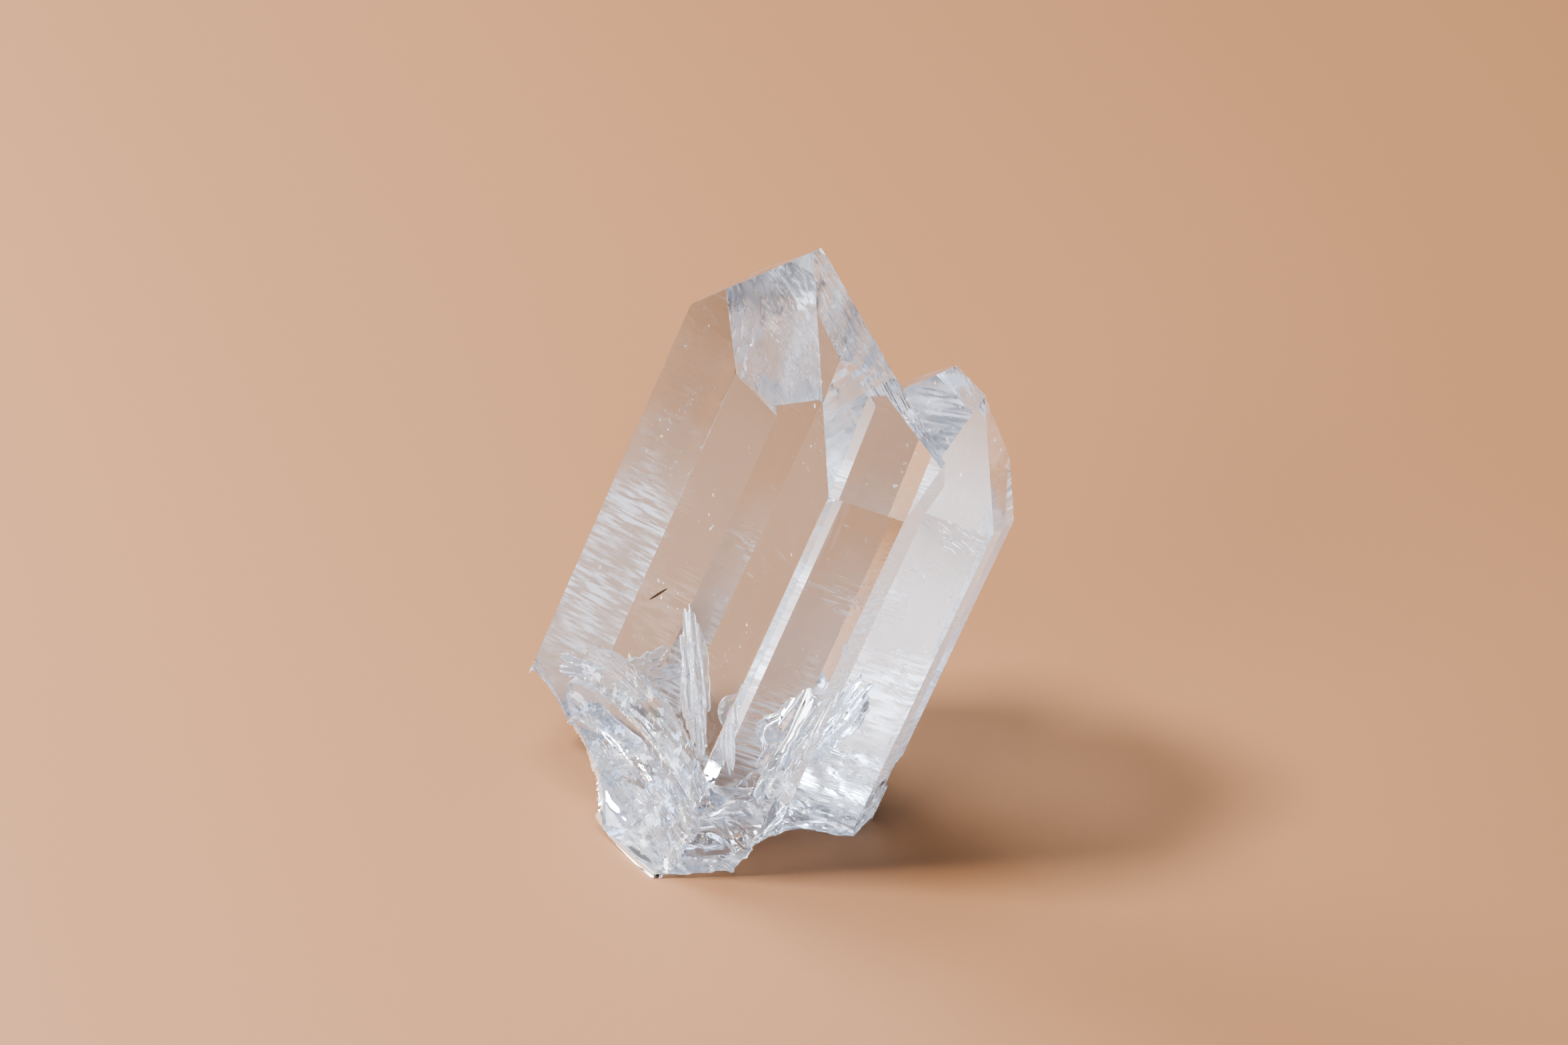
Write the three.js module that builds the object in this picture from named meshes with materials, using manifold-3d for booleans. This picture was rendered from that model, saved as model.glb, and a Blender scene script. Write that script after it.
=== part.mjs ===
import * as THREE from 'three';
import { mergeVertices } from 'three/addons/utils/BufferGeometryUtils.js';
import Module from 'manifold-3d';

// Clear quartz: two points grown side by side in parallel on one broken base.
// Millimetres, +Z up. The taller crystal stands at the left and front, the shorter at the right and behind.

// Growth directions shared by both crystals
const frontFaceAzimuth = 3.1;
const prismStep = 60;
const prismPolar = 90;
const pyramidPolar = 51.8;
const leanRight = 22.07;
const leanBack = 2.87;
const faceSteps = { left: -1, front: 0, right: 1, backRight: 2, back: 3, backLeft: 4 };

// Face distances of the tall crystal, measured from the top of its front prism edge
const tallPrism = { left: 0, front: 0, right: 4.35, backRight: 11.6, back: 21.4, backLeft: 16.15 };
const tallTip = { front: 0, right: 5.7, backRight: 7.64, backLeft: 14.0 };

// Face distances of the short crystal, from the same point
const shortPrism = { left: -6.5, front: -3.33, right: 8.3, backRight: 14.55, back: 17.0, backLeft: 7.0 };
const shortTip = { left: -5.5, front: -2.95, right: 6.25, backRight: 13.0, backLeft: 3.55 };

// The rough block each crystal is cut out of
const roughSize = 120;
const roughBottom = -45;

// Height of the table below the top of the front prism edge
const tableDepth = 27.2;

// Outward direction of the broad left face, and the run of the ribs across its broken foot
const broadFacing = [-0.776, -0.527, 0.347];
const ribRun = [0.486, -0.851, -0.207];
const underFacing = [0, 0, -1];
const sideRun = [1, 0, 0];
const slantRun = [0.8, 0.6, 0];
const crossRun = [0.5, -0.85, 0];

// Wide shell-shaped breaks of the base: centre, half sizes along, across and deep
const breaks = {
  leftFoot: { at: [-21.0, 10.0, -29.0], along: sideRun, facing: underFacing, radii: [6.9, 22.0, 7.8] },
  broadFoot: { at: [-18.9, 0.6, -19.6], along: ribRun, facing: broadFacing, radii: [10.4, 7.6, 8.8] },
  innerFoot: { at: [-13.7, -3.6, -20.2], along: ribRun, facing: broadFacing, radii: [5.0, 4.4, 4.9] },
  upperRib: { at: [-12.9, 3.6, -19.4], along: ribRun, facing: broadFacing, radii: [9.0, 3.0, 3.1] },
  middleRib: { at: [-13.3, 2.9, -21.8], along: ribRun, facing: broadFacing, radii: [10.0, 2.6, 3.0] },
  lowerRib: { at: [-14.1, 2.4, -23.8], along: ribRun, facing: broadFacing, radii: [9.0, 2.8, 3.2] },
  arch: { at: [-0.6, -1.2, -28.6], along: sideRun, facing: underFacing, radii: [5.6, 5.2, 4.6] },
  archRib: { at: [-3.4, -1.6, -25.9], along: sideRun, facing: underFacing, radii: [1.5, 2.2, 2.4] },
  rightCorner: { at: [5.8, 0.6, -27.4], along: sideRun, facing: underFacing, radii: [5.2, 3.8, 4.0] },
  backFoot: { at: [-3.0, 21.5, -28.2], along: sideRun, facing: underFacing, radii: [7.5, 6.4, 5.0] },
  frontHollow: { at: [-7.2, 5.6, -28.2], along: slantRun, facing: underFacing, radii: [4.9, 3.3, 2.2] },
  sideHollow: { at: [-4.4, 9.4, -28.0], along: crossRun, facing: underFacing, radii: [4.4, 3.4, 1.9] },
  backHollow: { at: [-9.2, 12.4, -28.3], along: slantRun, facing: underFacing, radii: [4.2, 2.8, 2.0] },
};

// Small chips on the edges and tips, laid out the same way
const chips = {
  shortTip: { at: [10.9, 8.3, 8.3], along: sideRun, facing: underFacing, radii: [5.4, 5.4, 5.6] },
  shortNick: { at: [11.0, 9.2, 2.6], along: sideRun, facing: underFacing, radii: [0.9, 0.8, 0.6] },
  tallTip: { at: [0.2, 8.7, 12.9], along: sideRun, facing: underFacing, radii: [1.25, 1.4, 1.2] },
  junctionTop: { at: [1.2, -0.95, -11.0], along: sideRun, facing: underFacing, radii: [0.7, 0.8, 1.3] },
  junctionMiddle: { at: [-0.3, -1.15, -14.7], along: sideRun, facing: underFacing, radii: [0.7, 0.8, 0.9] },
  junctionLow: { at: [-1.2, -1.25, -17.0], along: sideRun, facing: underFacing, radii: [0.8, 0.8, 1.4] },
  junctionFoot: { at: [-2.8, -1.4, -20.9], along: sideRun, facing: underFacing, radii: [1.0, 1.0, 1.6] },
  frontEdge: { at: [-9.9, -2.2, -22.8], along: sideRun, facing: underFacing, radii: [1.5, 1.5, 2.2] },
  rightEdge: { at: [4.7, 1.9, -20.9], along: sideRun, facing: underFacing, radii: [0.9, 1.0, 1.9] },
  rightFoot: { at: [5.0, 5.6, -24.3], along: sideRun, facing: underFacing, radii: [1.1, 2.2, 1.8] },
};

// Roundness of the shells, and how close corners are before they count as one
const breakDetail = 7;
const chipDetail = 2;
const weldDistance = 1e-5;

const wasm = await Module();
wasm.setup();

function toSolid(geometry) {
  const bare = geometry.index ? geometry.toNonIndexed() : geometry.clone();
  bare.deleteAttribute('normal');
  bare.deleteAttribute('uv');
  const merged = mergeVertices(bare, weldDistance);
  const mesh = new wasm.Mesh({
    numProp: 3,
    vertProperties: new Float32Array(merged.attributes.position.array),
    triVerts: new Uint32Array(merged.index.array),
  });
  return new wasm.Manifold(mesh);
}

function toGeometry(solid) {
  const mesh = solid.getMesh();
  const geometry = new THREE.BufferGeometry();
  geometry.setAttribute('position', new THREE.BufferAttribute(new Float32Array(mesh.vertProperties), 3));
  geometry.setIndex(new THREE.BufferAttribute(new Uint32Array(mesh.triVerts), 1));
  return geometry;
}

// Takes away everything beyond a flat face
function cutFace(solid, normal, distance) {
  const block = new THREE.BoxGeometry(2 * roughSize, 2 * roughSize, roughSize);
  const facing = new THREE.Quaternion().setFromUnitVectors(new THREE.Vector3(0, 0, 1), normal);
  const centre = normal.clone().multiplyScalar(distance + roughSize / 2);
  block.applyQuaternion(facing);
  block.translate(centre.x, centre.y, centre.z);
  return solid.subtract(toSolid(block));
}

// Takes away a shell-shaped scar, laid along a run and facing out of the surface
function cutShell(solid, scar, detail) {
  const facing = new THREE.Vector3(...scar.facing).normalize();
  const run = new THREE.Vector3(...scar.along);
  const across = new THREE.Vector3().crossVectors(facing, run).normalize();
  const along = new THREE.Vector3().crossVectors(across, facing);
  const shell = new THREE.IcosahedronGeometry(1, detail);
  shell.scale(scar.radii[0], scar.radii[1], scar.radii[2]);
  shell.applyMatrix4(new THREE.Matrix4().makeBasis(along, across, facing));
  shell.translate(scar.at[0], scar.at[1], scar.at[2]);
  return solid.subtract(toSolid(shell));
}

// Outward direction of a crystal face: steps round the axis, and the angle from the axis
function faceDirection(step, polar) {
  const azimuth = THREE.MathUtils.degToRad(frontFaceAzimuth + step * prismStep);
  const tilt = THREE.MathUtils.degToRad(polar);
  const across = Math.sin(tilt);
  return new THREE.Vector3(Math.sin(azimuth) * across, -Math.cos(azimuth) * across, Math.cos(tilt));
}

// One point: six prism faces and the pyramid faces that have grown
function growCrystal(prism, tip) {
  const rough = new THREE.BoxGeometry(roughSize, roughSize, roughSize);
  rough.translate(0, 0, roughBottom + roughSize / 2);
  let crystal = toSolid(rough);
  for (const [side, distance] of Object.entries(prism)) {
    crystal = cutFace(crystal, faceDirection(faceSteps[side], prismPolar), distance);
  }
  for (const [side, distance] of Object.entries(tip)) {
    crystal = cutFace(crystal, faceDirection(faceSteps[side], pyramidPolar), distance);
  }
  return crystal;
}

// Both points joined, then leaned together as they stand on the broken base
const upright = growCrystal(tallPrism, tallTip).add(growCrystal(shortPrism, shortTip));
const leaned = toGeometry(upright);
leaned.rotateY(THREE.MathUtils.degToRad(leanRight));
leaned.rotateX(THREE.MathUtils.degToRad(-leanBack));
let quartz = toSolid(leaned);

for (const scar of Object.values(breaks)) {
  quartz = cutShell(quartz, scar, breakDetail);
}
for (const scar of Object.values(chips)) {
  quartz = cutShell(quartz, scar, chipDetail);
}

// Flat rest patches where the broken base meets the table
quartz = cutFace(quartz, new THREE.Vector3(0, 0, -1), tableDepth);

// Origin at the middle of the bottom
const geometry = toGeometry(quartz);
geometry.computeBoundingBox();
const middle = geometry.boundingBox.getCenter(new THREE.Vector3());
geometry.translate(-middle.x, -middle.y, -geometry.boundingBox.min.z);

const clearQuartz = new THREE.MeshStandardMaterial({ color: 0xe6ebf2, roughness: 0.05, metalness: 0 });
const crystalMesh = new THREE.Mesh(geometry, clearQuartz);
crystalMesh.name = 'quartz_crystal';

const group = new THREE.Group();
group.name = 'lemurian_quartz';
group.add(crystalMesh);

export default group;
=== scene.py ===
import math
import random
import bmesh
import bpy
from mathutils import Matrix, Vector, noise


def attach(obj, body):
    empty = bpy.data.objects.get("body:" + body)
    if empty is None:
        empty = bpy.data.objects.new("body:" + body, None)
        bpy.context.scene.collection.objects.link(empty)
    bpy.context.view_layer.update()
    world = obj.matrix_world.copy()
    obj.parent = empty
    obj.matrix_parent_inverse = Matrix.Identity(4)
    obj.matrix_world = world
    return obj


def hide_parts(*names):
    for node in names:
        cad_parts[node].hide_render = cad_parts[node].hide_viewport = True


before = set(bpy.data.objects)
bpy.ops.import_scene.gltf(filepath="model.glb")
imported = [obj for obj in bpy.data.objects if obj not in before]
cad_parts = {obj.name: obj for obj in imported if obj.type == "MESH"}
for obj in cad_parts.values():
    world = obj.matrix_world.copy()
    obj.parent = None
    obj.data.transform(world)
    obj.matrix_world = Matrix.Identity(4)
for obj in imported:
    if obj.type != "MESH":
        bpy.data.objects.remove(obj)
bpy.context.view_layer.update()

mm = 0.001
print("frame loaded")

# growth directions of the quartz, the same for both points
growth = {
    "frontFaceAzimuth": 3.1,
    "prismStep": 60.0,
    "prismPolar": 90.0,
    "pyramidPolar": 51.8,
    "leanRight": 22.07,
    "leanBack": 2.87,
}
lean = Matrix.Rotation(math.radians(-growth["leanBack"]), 3, "X")
lean = lean @ Matrix.Rotation(math.radians(growth["leanRight"]), 3, "Y")
growthAxis = lean @ Vector((0, 0, 1))


def faceDirection(step, polar):
    azimuth = math.radians(growth["frontFaceAzimuth"] + step * growth["prismStep"])
    tilt = math.radians(polar)
    across = math.sin(tilt)
    upright = Vector((math.sin(azimuth) * across, -math.cos(azimuth) * across, math.cos(tilt)))
    return lean @ upright


prismNames = ("left", "front", "right", "backRight", "back", "backLeft")
prismFacing = {name: faceDirection(i - 1, growth["prismPolar"]) for i, name in enumerate(prismNames)}
tipFacing = {name: faceDirection(i - 1, growth["pyramidPolar"]) for i, name in enumerate(prismNames)}
flatFacings = list(prismFacing.values()) + list(tipFacing.values())


# a socket that takes part in Python sums
class Wire:
    def __init__(self, tree, socket):
        self.tree = tree
        self.socket = socket

    def node(self, kind, settings=None, **inputs):
        made = self.tree.nodes.new(kind)
        for key, value in (settings or {}).items():
            setattr(made, key, value)
        for key, value in inputs.items():
            numbered = key[0] == "i" and key[1:].isdigit()      # i0, i1 and so on are sockets by number
            target = made.inputs[int(key[1:]) if numbered else key]
            if isinstance(value, Wire):
                self.tree.links.new(value.socket, target)
            else:
                target.default_value = value
        return made

    def wrap(self, socket):
        return Wire(self.tree, socket)

    def maths(self, operation, other):
        made = self.node("ShaderNodeMath", {"operation": operation}, i0=self, i1=other)
        return self.wrap(made.outputs[0])

    def reflected(self, operation, other):
        made = self.node("ShaderNodeMath", {"operation": operation}, i0=other, i1=self)
        return self.wrap(made.outputs[0])

    def __add__(self, other):
        return self.maths("ADD", other)

    def __radd__(self, other):
        return self.reflected("ADD", other)

    def __sub__(self, other):
        return self.maths("SUBTRACT", other)

    def __rsub__(self, other):
        return self.reflected("SUBTRACT", other)

    def __mul__(self, other):
        return self.maths("MULTIPLY", other)

    def __rmul__(self, other):
        return self.reflected("MULTIPLY", other)


def newMaterial(name):
    material = bpy.data.materials.new(name)
    material.use_nodes = True
    tree = material.node_tree
    tree.nodes.clear()
    wire = Wire(tree, None)
    output = wire.node("ShaderNodeOutputMaterial")
    return material, wire, output


def objectPlace(wire):
    return wire.wrap(wire.node("ShaderNodeTexCoord").outputs["Object"])


# the crystal: the solid's own faces, with its edges worn and its broken base worked finer
crystal = {
    "weld": 0.002 * mm,
    "flatWithin": 0.35,          # degrees off a growth direction that still counts as it
    "oneFlat": 0.2,              # degrees between triangles that make one flat face
    "planeNear": 0.006 * mm,     # corners this near a growth face lie on it
    "sameFacing": 0.9999,        # cosine above which two faces point the same way
    "otherFacing": 0.999,
    "largeFace": 0.4 * mm * mm,
    "edgeWear": 0.045 * mm,
    "edgeFrom": 12.0,
    "roughEdge": 0.24 * mm,      # longest edge left on a broken face
    "roughPasses": 7,
    "stepHeight": 0.55 * mm,     # terraces of the break
    "stepSize": 2.6 * mm,
    "stepLevels": 4.0,
    "treadShare": 0.72,
    "treadSlope": 0.25,
    "swell": 0.6,                # the break's large waves, and smaller ones between them
    "swellMiddle": 0.5,
    "fineSwell": 0.25,
    "fineTimes": 2.3,
    "ripple": 0.05 * mm,         # finer ripple on the terraces
    "rippleSize": 0.75 * mm,
    "chipShare": 0.3,            # share of the break's depth on small chips higher up
    "baseTop": 13.0 * mm,
    "ribStretch": 5.0,
    "ribRun": (0.486, -0.851, -0.207),
    "ribFacing": (-0.776, -0.527, 0.347),
    "sharpFrom": 34.0,
    "shift": (3.7, 1.3, 8.1),
    "setBack": 1.0 * mm,         # how far the short point's front face lies behind the tall one's, at least
}

# which finish a face takes: the finishes below come in this order
growthFace, brokenFace, ladderFace, wornFace, fissureFace = range(5)
chipFace, hazyFace, etchedFace, striatedFace, inclusionFace = range(5, 10)


# the large flat faces, each as a direction and a distance
def growthPlanes(bm):
    limit = math.cos(math.radians(crystal["flatWithin"]))
    planes = []
    for face in bm.faces:
        if face.calc_area() < crystal["largeFace"]:
            continue
        for facing in flatFacings:
            if face.normal.dot(facing) > limit:
                planes.append((face.normal.copy(), face.normal.dot(face.verts[0].co)))
    return planes


def sortFaces(bm, planes, planeOf):
    for face in bm.faces:
        face.material_index = brokenFace
        for i, (facing, distance) in enumerate(planes):
            near = all(abs(facing.dot(v.co) - distance) < crystal["planeNear"] for v in face.verts)
            if near:
                face.material_index = growthFace
                face[planeOf] = i
                break


def facesOf(bm, kind):
    return [f for f in bm.faces if f.material_index == kind]


def planesFacing(planes, facing):
    return [i for i, plane in enumerate(planes) if plane[0].dot(facing) > crystal["sameFacing"]]


def wearEdges(bm):
    limit = math.radians(crystal["edgeFrom"])
    worn = []
    for edge in bm.edges:
        flat = len(edge.link_faces) == 2 and all(f.material_index == growthFace for f in edge.link_faces)
        if flat and edge.is_convex and edge.calc_face_angle(0.0) > limit:
            worn.append(edge)
    made = bmesh.ops.bevel(bm, geom=worn, offset=crystal["edgeWear"], affect="EDGES", segments=1,
                           profile=0.5, material=-1, clamp_overlap=True, loop_slide=True)
    for face in made["faces"]:
        face.material_index = wornFace
    print("worn edges", len(worn))


# growth lines across the back faces, cut as shallow steps
ladder = {
    "faces": ("back", "backLeft"),
    "gap": (0.22 * mm, 0.95 * mm),
    "depth": 0.03 * mm,
    "cutWithin": 1e-8,
    "seed": 5,
}


def cutLadder(bm, planes, planeOf):
    draw = random.Random(ladder["seed"])
    moves = {}
    for name in ladder["faces"]:
        facing = prismFacing[name]
        steps = planesFacing(planes, facing)
        for face in facesOf(bm, growthFace):
            if face[planeOf] in steps:
                face.material_index = ladderFace
                face.select = True
        heights = [growthAxis.dot(v.co) for f in facesOf(bm, ladderFace) if f.select for v in f.verts]
        level = min(heights) + ladder["gap"][1]
        while level < max(heights):
            faces = [f for f in facesOf(bm, ladderFace) if f.select]
            edges = list(dict.fromkeys(e for f in faces for e in f.edges))
            verts = list(dict.fromkeys(v for f in faces for v in f.verts))
            cut = bmesh.ops.bisect_plane(bm, geom=verts + edges + faces, dist=ladder["cutWithin"],
                                         plane_co=growthAxis * level, plane_no=growthAxis)
            sink = facing * -ladder["depth"] * draw.random()
            for part in cut["geom_cut"]:
                if isinstance(part, bmesh.types.BMVert):
                    moves[part] = sink
            level += draw.uniform(*ladder["gap"])
        for face in facesOf(bm, ladderFace):
            face.select = False
    for vert, move in moves.items():
        others = [planes[f[planeOf]][0] for f in vert.link_faces if f.material_index == growthFace]
        vert.co += slideInFaces(move, others) if others else move
    print("growth lines", len(moves))


# a sliver can fold flat when it is split: both its halves go
def dropFolds(bm):
    sharing = {}
    for face in facesOf(bm, brokenFace):
        sharing.setdefault(frozenset(face.verts), []).append(face)
    folded = [f for pair in sharing.values() if len(pair) == 2 for f in pair]
    bmesh.ops.delete(bm, geom=folded, context="FACES")


def splitBroken(bm):
    bmesh.ops.triangulate(bm, faces=[f for f in facesOf(bm, brokenFace) if len(f.verts) > 3])
    dropFolds(bm)


def refineBroken(bm):
    for step in range(crystal["roughPasses"]):
        splitBroken(bm)
        rims = dict.fromkeys(e for f in facesOf(bm, brokenFace) for e in f.edges)
        longEdges = [e for e in rims if e.calc_length() > crystal["roughEdge"]]
        if not longEdges:
            break
        bmesh.ops.subdivide_edges(bm, edges=longEdges, cuts=1)
        dropFolds(bm)
    splitBroken(bm)


def smoothStep(share):
    share = min(1.0, max(0.0, share))
    return share * share * (3 - 2 * share)


def terraces(height):
    scaled = height * crystal["stepLevels"]
    tread = math.floor(scaled)
    within = scaled - tread
    rise = smoothStep((within - crystal["treadShare"]) / (1 - crystal["treadShare"]))
    slope = crystal["treadSlope"]
    return (tread + slope * within + (1 - slope) * rise) / crystal["stepLevels"]


def brokenDepth(place):
    run = Vector(crystal["ribRun"])
    drawn = place - run * place.dot(run) * (1 - 1 / crystal["ribStretch"])
    shift = Vector(crystal["shift"])
    swell = noise.noise(drawn / crystal["stepSize"] + shift) * crystal["swell"] + crystal["swellMiddle"]
    swell += noise.noise(drawn * crystal["fineTimes"] / crystal["stepSize"] + shift) * crystal["fineSwell"]
    ripple = noise.noise(place / crystal["rippleSize"] + shift) * 0.5 + 0.5
    depth = crystal["stepHeight"] * terraces(min(1.0, max(0.0, swell))) + crystal["ripple"] * ripple
    return depth if place.z < crystal["baseTop"] else depth * crystal["chipShare"]


# a corner on growth faces may only slide in them
def slideInFaces(move, facings):
    kept = []
    for facing in facings:
        if all(facing.dot(other) < crystal["otherFacing"] for other in kept):
            kept.append(facing)
    if len(kept) == 1:
        return move - kept[0] * move.dot(kept[0])
    if len(kept) == 2:
        edge = kept[0].cross(kept[1]).normalized()
        return edge * move.dot(edge)
    return Vector()


def roughenBroken(bm, planes, planeOf):
    bm.normal_update()
    moves = {}
    for vert in bm.verts:
        rough = [f for f in vert.link_faces if f.material_index == brokenFace]
        if not rough:
            continue
        inward = Vector()
        for face in rough:
            inward -= face.normal * face.calc_area()
        if inward.length == 0:
            continue
        move = inward.normalized() * brokenDepth(vert.co)
        flats = [f for f in vert.link_faces if f.material_index in (growthFace, ladderFace)]
        facings = [planes[f[planeOf]][0] for f in flats]
        if any(f.material_index == wornFace for f in vert.link_faces):
            move = Vector()
        moves[vert] = slideInFaces(move, facings) if facings else move
    for vert, move in moves.items():
        vert.co += move
        vert.co.z = max(vert.co.z, 0.0)


# healed cracks and bubbles: thin hollows inside the crystal, in mm
fissures = {
    "blade": {"at": (-2.7, -3.4, 9.6), "run": (0.08, -0.63, -0.77), "facing": (-0.85, -0.35, 0.2),
              "size": (4.2, 1.7, 0.03), "wave": 0.16, "jag": 0.5},
    "pane": {"at": (1.0, -6.6, 8.3), "run": (0.32, 0.05, 0.94), "facing": (-0.55, -0.65, 0.45),
             "size": (3.4, 1.9, 0.03), "wave": 0.2, "jag": 0.55},
    "shortPane": {"at": (4.6, -3.8, 7.9), "run": (0.38, 0.05, 0.92), "facing": (-0.6, -0.5, 0.6),
                  "size": (3.8, 1.5, 0.03), "wave": 0.2, "jag": 0.55},
    "footPane": {"at": (-6.18, 0.36, 8.02), "run": (0.85, 0.35, -0.3), "facing": (-0.2, -0.5, 0.84),
                 "size": (3.4, 1.3, 0.03), "wave": 0.25, "jag": 0.7},
    "needle": {"at": (-6.42, -0.76, 14.72), "run": (0.93, 0.18, 0.31), "facing": (-0.36, 0.1, 0.93),
               "size": (0.9, 0.09, 0.07), "wave": 0.0, "jag": 0.0, "finish": inclusionFace},
    "cornerPane": {"at": (-11.8, 2.9, 7.0), "run": (0.94, -0.17, -0.29), "facing": (-0.3, -0.45, 0.84),
                   "size": (2.0, 0.9, 0.03), "wave": 0.2, "jag": 0.6},
}
veils = {
    "leftVeil": {"at": (-4.5, 3.9, 25.7), "run": (0.8, 0.5, 0.3), "facing": (-0.4, -0.6, 0.6),
                 "size": (2.0, 0.6, 0.1), "count": 50, "bubble": (0.02, 0.06)},
    "footVeil": {"at": (-5.22, 0.64, 8.62), "run": (0.8, 0.5, -0.3), "facing": (-0.1, -0.4, 0.9),
                 "size": (4.0, 2.2, 1.4), "count": 80, "bubble": (0.02, 0.08)},
    "shortVeil": {"at": (5.5, -2.5, 10.5), "run": (0.38, 0.05, 0.92), "facing": (0.0, -1.0, 0.0),
                  "size": (3.5, 1.6, 1.0), "count": 60, "bubble": (0.02, 0.06)},
}
hollow = {
    "crackDetail": 5,
    "rim": (1.4, 6.0),           # coarse and fine notches of a crack's rim
    "fineRim": 0.35,
    "rib": (0.8, 2.6),           # ribs along a crack, coarse and fine
    "fineRib": (1.5, 9.0),
    "fineRibShare": 0.3,
    "shift": (7.3, 1.9, 4.4),
    "bubbleDetail": 1,
    "bubbleSpread": 0.45,
    "bubbleFlat": 0.4,
}


def placing(spot):
    facing = Vector(spot["facing"]).normalized()
    across = facing.cross(Vector(spot["run"])).normalized()
    along = across.cross(facing)
    turned = Matrix((along, across, facing)).transposed().to_4x4()
    return Matrix.Translation(Vector(spot["at"]) * mm) @ turned


# a ragged rim, and ribs that run along the crack
def raggedCrack(place, spot, shift):
    rim = Vector((place.x, place.y, 0)).normalized()
    notches = noise.noise(rim * hollow["rim"][0] + shift)
    notches += hollow["fineRim"] * noise.noise(rim * hollow["rim"][1] + shift)
    reach = 1 + spot["jag"] * notches
    ribs = noise.noise(Vector((place.x * hollow["rib"][0], place.y * hollow["rib"][1], 0)) + shift)
    fine = noise.noise(Vector((place.x * hollow["fineRib"][0], place.y * hollow["fineRib"][1], 0)) + shift)
    ribs += hollow["fineRibShare"] * fine
    long, wide, thick = spot["size"]
    bent = Vector((place.x * reach * long, place.y * reach * wide, place.z * thick + ribs * spot["wave"]))
    return bent * mm


def addFissures(bm):
    hollows = bmesh.new()
    apartBy, sideBy, upBy = hollow["shift"]
    for i, spot in enumerate(fissures.values()):
        made = bmesh.ops.create_icosphere(hollows, subdivisions=hollow["crackDetail"], radius=1)
        for face in {f for v in made["verts"] for f in v.link_faces}:
            face.material_index = spot.get("finish", fissureFace)
        for vert in made["verts"]:
            vert.co = placing(spot) @ raggedCrack(vert.co, spot, Vector((i * apartBy, sideBy, upBy)))
    for name, veil in veils.items():
        draw = random.Random(name)
        for i in range(veil["count"]):
            apart = Vector([draw.gauss(0, hollow["bubbleSpread"]) * size * mm for size in veil["size"]])
            radius = draw.uniform(*veil["bubble"]) * mm
            flat = Matrix.Diagonal((radius, radius, radius * hollow["bubbleFlat"], 1))
            bmesh.ops.create_icosphere(hollows, subdivisions=hollow["bubbleDetail"], radius=1,
                                       matrix=placing(veil) @ Matrix.Translation(apart) @ flat)
    bmesh.ops.reverse_faces(hollows, faces=hollows.faces)
    for face in hollows.faces:
        face.smooth = True
        if face.material_index == growthFace:      # the bubbles
            face.material_index = fissureFace
    mesh = bpy.data.meshes.new("hollows")
    hollows.to_mesh(mesh)
    hollows.free()
    bm.from_mesh(mesh)
    bpy.data.meshes.remove(mesh)
    print("fissures", len(fissures), "veils", len(veils))


def shadeBroken(bm):
    bm.normal_update()
    limit = math.radians(crystal["sharpFrom"])
    for face in facesOf(bm, brokenFace):
        face.smooth = True
    for edge in bm.edges:
        kinds = {f.material_index for f in edge.link_faces}
        if kinds != {fissureFace}:
            edge.smooth = kinds == {brokenFace} and edge.calc_face_angle(0.0) < limit
    for face in facesOf(bm, brokenFace):
        if face.calc_center_median().z > crystal["baseTop"]:
            face.material_index = chipFace


# the short point's front face is cloudy, the back of the tall tip is etched, the face below it lined
def pickFinishes(bm, planes, planeOf):
    fronts = planesFacing(planes, prismFacing["front"])
    nearest = max(planes[i][1] for i in fronts)
    shortFronts = [i for i in fronts if planes[i][1] < nearest - crystal["setBack"]]
    tips = planesFacing(planes, tipFacing["backRight"])
    lined = planesFacing(planes, prismFacing["backRight"])
    for face in facesOf(bm, growthFace):
        if face[planeOf] in lined:
            face.material_index = striatedFace
        if face[planeOf] in shortFronts:
            face.material_index = hazyFace
        if face[planeOf] in tips:
            face.material_index = etchedFace


def buildCrystal():
    bm = bmesh.new()
    bm.from_mesh(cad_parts["quartz_crystal"].data)
    bmesh.ops.remove_doubles(bm, verts=bm.verts, dist=crystal["weld"])
    bmesh.ops.dissolve_degenerate(bm, dist=crystal["weld"], edges=bm.edges)
    flat = math.radians(crystal["oneFlat"])
    bmesh.ops.dissolve_limit(bm, angle_limit=flat, verts=bm.verts, edges=bm.edges)
    bm.normal_update()
    planeOf = bm.faces.layers.int.new("growthPlane")
    planes = growthPlanes(bm)
    sortFaces(bm, planes, planeOf)
    print("growth faces", len(facesOf(bm, growthFace)), "broken faces", len(facesOf(bm, brokenFace)))
    wearEdges(bm)
    cutLadder(bm, planes, planeOf)
    refineBroken(bm)
    roughenBroken(bm, planes, planeOf)
    shadeBroken(bm)
    pickFinishes(bm, planes, planeOf)
    addFissures(bm)
    bmesh.ops.triangulate(bm, faces=[f for f in bm.faces if len(f.verts) > 4])
    mesh = bpy.data.meshes.new("quartzCrystal")
    bm.to_mesh(mesh)
    bm.free()
    piece = bpy.data.objects.new("quartzCrystal", mesh)
    bpy.context.scene.collection.objects.link(piece)
    print("crystal built,", len(mesh.polygons), "faces")
    return piece


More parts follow.
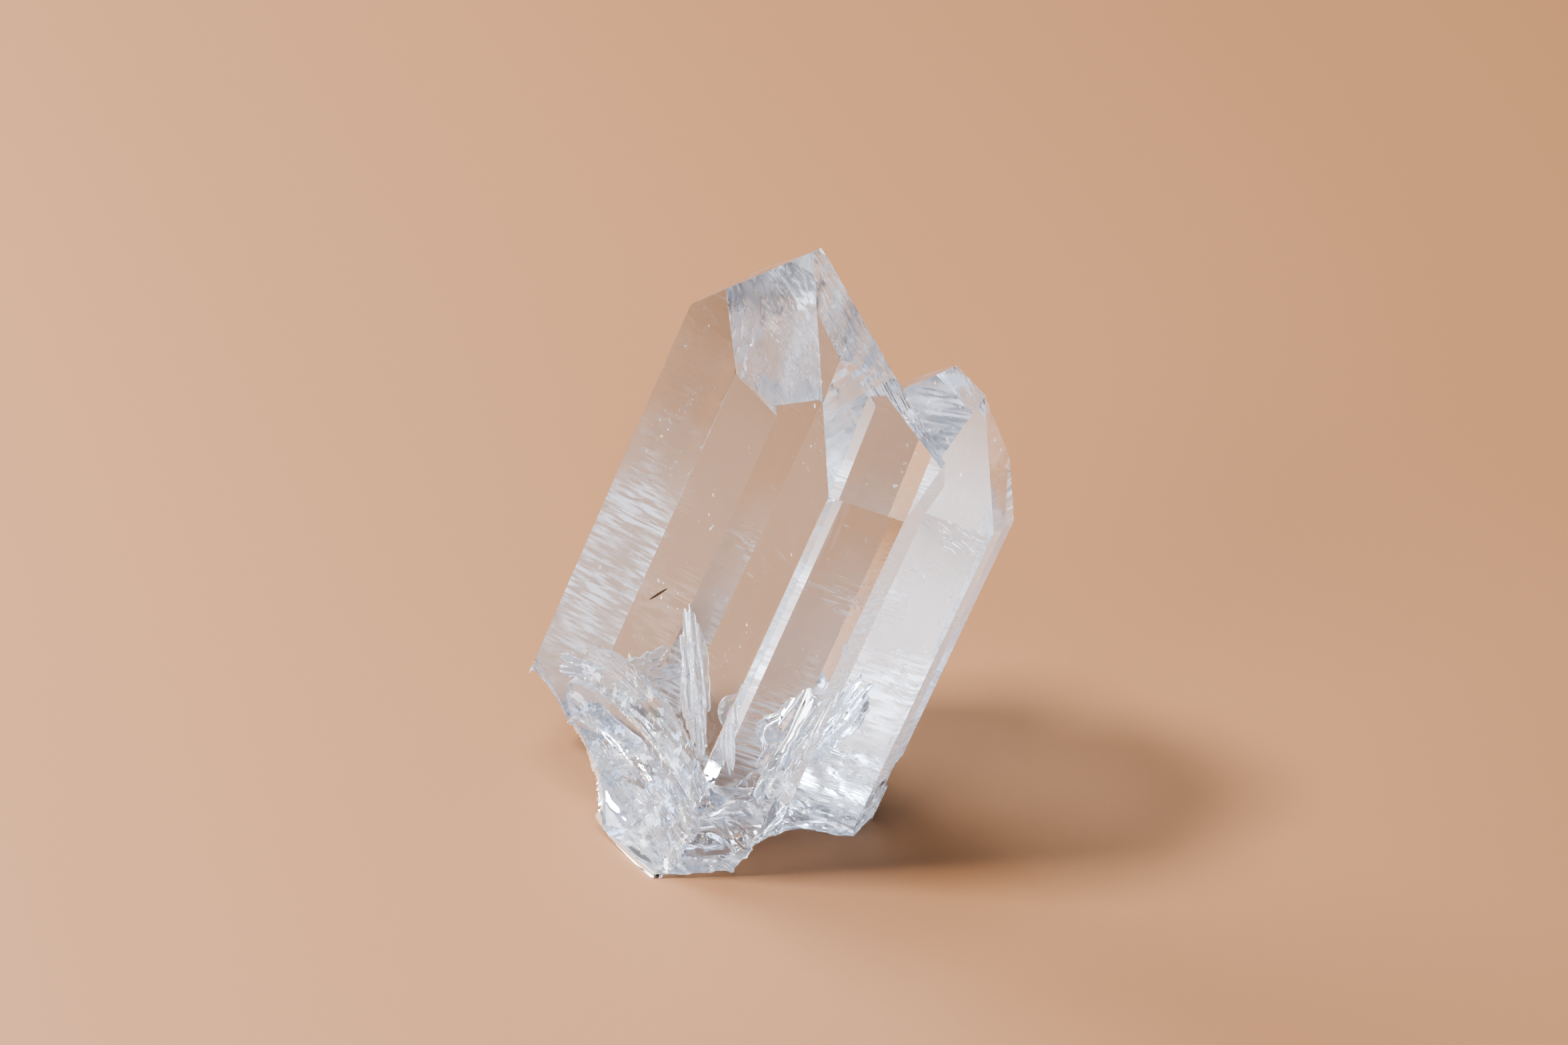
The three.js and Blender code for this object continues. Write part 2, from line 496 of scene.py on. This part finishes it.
# finishes of the quartz: bands in mm along the growth axis, shares from 0 to 1
quartzBody = {"ior": 1.544, "absorption": (0.93, 0.96, 1.0, 1.0), "density": 6.0}
frostTone = {"roughness": 0.5, "through": 0.62}
grain = {                        # sizes of the patterns, as scales per metre
    "lineScale": 420.0,
    "lineSqueeze": 9.0,
    "lineDetail": 3.0,
    "lineFade": 0.2,
    "patchScale": 130.0,         # where lines show
    "patchRamp": (0.46, 0.62),
    "speckScale": 1700.0,
    "speckFade": 0.05,
    "cloudScale": 260.0,         # where specks show
    "cloudRamp": (0.42, 0.6),
    "dimpleScale": 420.0,
    "dimpleRamp": (0.5, 0.6),
    # where the frost's second colour shows: painted sky reflection on the broken base, a second tone of the
    # needle's own colour
    "paintedSkyAndToneRamp": (0.45, 0.6),
    "detail": 2.0,
    "reliefDepth": 0.03 * mm,
}
ribAcross = Vector(crystal["ribFacing"]).cross(Vector(crystal["ribRun"])).normalized()
plainFinish = {
    "roughness": 0.0, "film": 0.0, "haze": 0.0, "bandHaze": 0.0,
    "lineRough": 0.04, "lineBump": 0.04, "lineFrost": 0.02, "lineFrom": 0.5, "lineAxis": growthAxis,
    "speckFrost": 0.6, "speckFrom": 0.70, "dimples": 0.0, "dimpleFrost": 0.0,
    "frostBand": (-50.0, -40.0, 60.0, 70.0), "frost": (0.95, 0.97, 1.0, 1.0), "paintedSkyAndSecondTone": None,
}
finishes = {
    "clearQuartz": {},
    # the blue second frost colour on the broken base is a painted sky reflection
    "brokenQuartz": {"roughness": 0.02, "lineRough": 0.1, "lineBump": 0.25, "lineFrost": 1.0, "haze": 0.12,
                     "lineAxis": ribAcross, "lineFrom": 0.52, "speckFrom": 0.56, "speckFrost": 1.0,
                     "paintedSkyAndSecondTone": (0.50, 0.68, 1.0, 1.0)},
    "ladderQuartz": {"lineRough": 0.2, "lineBump": 0.15, "lineFrost": 1.0, "lineFrom": 0.42,
                     "bandHaze": 0.25, "frostBand": (-9.0, -3.0, 12.0, 20.0)},
    "wornQuartz": {"roughness": 0.25, "lineRough": 0.2, "lineFrost": 0.3, "haze": 0.3,
                   "speckFrom": 0.55, "speckFrost": 0.9},
    "fissureQuartz": {"roughness": 0.02, "lineBump": 0.0, "haze": 0.14, "speckFrom": 0.6, "film": 480.0},
    "chippedQuartz": {"roughness": 0.1, "lineRough": 0.2, "lineFrost": 0.3, "haze": 0.75,
                      "speckFrom": 0.55},
    "hazyQuartz": {"roughness": 0.02, "lineRough": 0.15, "lineBump": 0.12, "lineFrost": 0.8, "haze": 0.16,
                   "lineFrom": 0.46, "speckFrom": 0.60, "speckFrost": 0.9},
    "etchedQuartz": {"dimples": 2.2, "dimpleFrost": 0.14},
    "striatedQuartz": {"lineRough": 0.1, "lineBump": 0.1, "lineFrost": 0.6, "lineFrom": 0.52,
                       "frostBand": (8.0, 11.5, 15.0, 18.0)},
    "inclusionQuartz": {"haze": 1.0, "frost": (0.10, 0.04, 0.02, 1.0),
                        "paintedSkyAndSecondTone": (0.06, 0.02, 0.01, 1.0)},
}


def rampBetween(value, low, high):
    made = value.node("ShaderNodeMapRange", {"clamp": True}, i0=value, i1=low, i2=high, i3=0.0, i4=1.0)
    return value.wrap(made.outputs[0])


def noiseAt(place, scale, detail):
    made = place.node("ShaderNodeTexNoise", {}, Vector=place, Scale=scale, Detail=detail)
    return place.wrap(made.outputs[0])


# the pattern is squeezed along an axis, so that it draws lines across it
def lineNoise(place, axis, scale):
    height = place.node("ShaderNodeVectorMath", {"operation": "DOT_PRODUCT"}, i0=place, i1=axis)
    height = place.wrap(height.outputs["Value"])
    rise = place.node("ShaderNodeVectorMath", {"operation": "SCALE"}, i0=axis,
                      Scale=height * grain["lineSqueeze"])
    rise = place.wrap(rise.outputs[0])
    drawn = place.node("ShaderNodeVectorMath", {"operation": "ADD"}, i0=place, i1=rise)
    return noiseAt(place.wrap(drawn.outputs[0]), scale, grain["lineDetail"]), height


def quartzFinish(name, changes):
    finish = {**plainFinish, **changes}
    material, wire, output = newMaterial(name)
    place = objectPlace(wire)
    lines, height = lineNoise(place, finish["lineAxis"], grain["lineScale"])
    patches = rampBetween(noiseAt(place, grain["patchScale"], grain["detail"]), *grain["patchRamp"])
    low, lowFull, highFull, high = [edge * mm for edge in finish["frostBand"]]
    band = rampBetween(height, low, lowFull) * (1 - rampBetween(height, highFull, high))
    marks = rampBetween(lines, finish["lineFrom"], finish["lineFrom"] + grain["lineFade"]) * patches
    specks = noiseAt(place, grain["speckScale"], grain["detail"])
    specks = rampBetween(specks, finish["speckFrom"], finish["speckFrom"] + grain["speckFade"])
    clouds = rampBetween(noiseAt(place, grain["cloudScale"], grain["detail"]), *grain["cloudRamp"])
    specks = specks * clouds
    dimples = noiseAt(place, grain["dimpleScale"], grain["detail"])
    clear = wire.node("ShaderNodeBsdfPrincipled", {}, **{
        "Base Color": (1, 1, 1, 1), "Transmission Weight": 1.0, "IOR": quartzBody["ior"],
        "Thin Film Thickness": finish["film"],
        "Roughness": marks * finish["lineRough"] + finish["roughness"]})
    relief = marks * finish["lineBump"] + dimples * finish["dimples"]
    bump = wire.node("ShaderNodeBump", {}, Strength=1.0, Distance=grain["reliefDepth"], Height=relief)
    wire.tree.links.new(bump.outputs[0], clear.inputs["Normal"])
    # frost scatters light on both sides of the face
    tint = finish["frost"]
    # the frost takes a second colour in noise patches: on the broken base a blue that is a painted sky
    # reflection, on the dark needle a second tone of its own colour
    if finish["paintedSkyAndSecondTone"]:
        mixed = wire.node("ShaderNodeMix", {"data_type": "RGBA"}, i6=finish["frost"], i7=finish["paintedSkyAndSecondTone"],
                          i0=rampBetween(dimples, *grain["paintedSkyAndToneRamp"]))
        tint = wire.wrap(mixed.outputs[2])
    white = wire.node("ShaderNodeBsdfPrincipled", {}, **{
        "Base Color": tint, "Roughness": frostTone["roughness"]})
    glow = wire.node("ShaderNodeBsdfTranslucent", {}, Color=finish["frost"])
    frost = wire.node("ShaderNodeMixShader", {}, i0=frostTone["through"],
                      i1=wire.wrap(white.outputs[0]), i2=wire.wrap(glow.outputs[0]))
    share = marks * band * finish["lineFrost"] + specks * finish["speckFrost"] + finish["haze"]
    share = share + band * finish["bandHaze"]
    share = share + rampBetween(dimples, *grain["dimpleRamp"]) * finish["dimpleFrost"]
    surface = wire.node("ShaderNodeMixShader", {}, i0=share.maths("MINIMUM", 1.0),
                        i1=wire.wrap(clear.outputs[0]), i2=wire.wrap(frost.outputs[0]))
    wire.tree.links.new(surface.outputs[0], output.inputs["Surface"])
    depth = wire.node("ShaderNodeVolumeAbsorption", {},
                      Color=quartzBody["absorption"], Density=quartzBody["density"])
    wire.tree.links.new(depth.outputs[0], output.inputs["Volume"])
    return material


quartz = buildCrystal()
for name, changes in finishes.items():
    quartz.data.materials.append(quartzFinish(name, changes))
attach(quartz, "root")
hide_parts("quartz_crystal")
print("crystal finished")

# floor, lights and camera
studio = {
    "floorSize": 3.0,
    "floorRoughness": 0.6,
    "floorColour": (0.175, 0.089, 0.043, 1.0),
    "worldColour": (0.78, 0.87, 1.0, 1.0),
    "worldStrength": 0.11,
    "photoWidth": 2352,
    "pixelsPerMm": 24.0,
    "distance": 370.0 * mm,
    "elevation": 30.0,
    "target": (1.11 * mm, -5.61 * mm, 22.82 * mm),
    "sensor": 36.0,
    "clipStart": 0.01,
    "lightTarget": (0, 0, 0.02),
    "look": "AgX - High Contrast",
    "bounces": 40,               # light crosses the crystal many times
}
softBoxes = {
    "keyLight": {"at": (-0.26, 0.01, 0.45), "size": (0.11, 0.11), "power": 6.4, "colour": (1.0, 0.95, 0.88)},
    "topLight": {"at": (-0.05, 0.16, 0.75), "size": (0.36, 0.36), "power": 4.6, "colour": (0.96, 0.98, 1.0)},
    "skyLight": {"at": (0.10, -0.64, 0.42), "size": (0.3, 0.3), "power": 2.0, "colour": (0.90, 0.95, 1.0)},
    "fillLight": {"at": (-0.42, -0.45, 0.30), "size": (0.3, 0.3), "power": 2.8, "colour": (0.96, 0.98, 1.0)},
    "rimLight": {"at": (-0.42, 0.42, 0.34), "size": (0.3, 0.24), "power": 5.0, "colour": (0.96, 0.98, 1.0)},
    "sideLight": {"at": (-0.60, 0.20, 0.14), "size": (0.35, 0.25), "power": 1.0, "colour": (0.96, 0.98, 1.0)},
}


def buildFloor():
    bm = bmesh.new()
    bmesh.ops.create_grid(bm, x_segments=1, y_segments=1, size=studio["floorSize"] / 2)
    mesh = bpy.data.meshes.new("floor")
    bm.to_mesh(mesh)
    bm.free()
    floor = bpy.data.objects.new("floor", mesh)
    bpy.context.scene.collection.objects.link(floor)
    material, wire, output = newMaterial("paleFloor")
    shader = wire.node("ShaderNodeBsdfPrincipled")
    shader.inputs["Base Color"].default_value = studio["floorColour"]
    shader.inputs["Roughness"].default_value = studio["floorRoughness"]
    wire.tree.links.new(shader.outputs[0], output.inputs["Surface"])
    mesh.materials.append(material)


def aimAt(thing, target):
    thing.rotation_euler = (Vector(target) - thing.location).to_track_quat("-Z", "Y").to_euler()


def addSoftBox(name, box):
    light = bpy.data.lights.new(name, "AREA")
    light.shape = "RECTANGLE"
    light.size, light.size_y = box["size"]
    light.energy = box["power"]
    light.color = box["colour"]
    lamp = bpy.data.objects.new(name, light)
    lamp.location = box["at"]
    bpy.context.scene.collection.objects.link(lamp)
    aimAt(lamp, studio["lightTarget"])


def buildStudio():
    buildFloor()
    world = bpy.data.worlds.new("studio")
    world.use_nodes = True
    background = world.node_tree.nodes["Background"]
    background.inputs["Color"].default_value = studio["worldColour"]
    background.inputs["Strength"].default_value = studio["worldStrength"]
    bpy.context.scene.world = world
    for name, box in softBoxes.items():
        addSoftBox(name, box)
    paths = bpy.context.scene.cycles
    paths.max_bounces = studio["bounces"]
    paths.glossy_bounces = studio["bounces"]
    paths.transmission_bounces = studio["bounces"]
    camera = bpy.data.cameras.new("camera")
    camera.sensor_width = studio["sensor"]
    camera.lens = studio["sensor"] * studio["pixelsPerMm"] * studio["distance"] / mm / studio["photoWidth"]
    camera.clip_start = studio["clipStart"]
    eye = bpy.data.objects.new("camera", camera)
    tilt = math.radians(studio["elevation"])
    toward = Vector((0, -math.cos(tilt), math.sin(tilt)))
    eye.location = Vector(studio["target"]) + toward * studio["distance"]
    bpy.context.scene.collection.objects.link(eye)
    aimAt(eye, studio["target"])
    bpy.context.scene.camera = eye
    bpy.context.scene.view_settings.look = studio["look"]
    print("studio ready")


buildStudio()
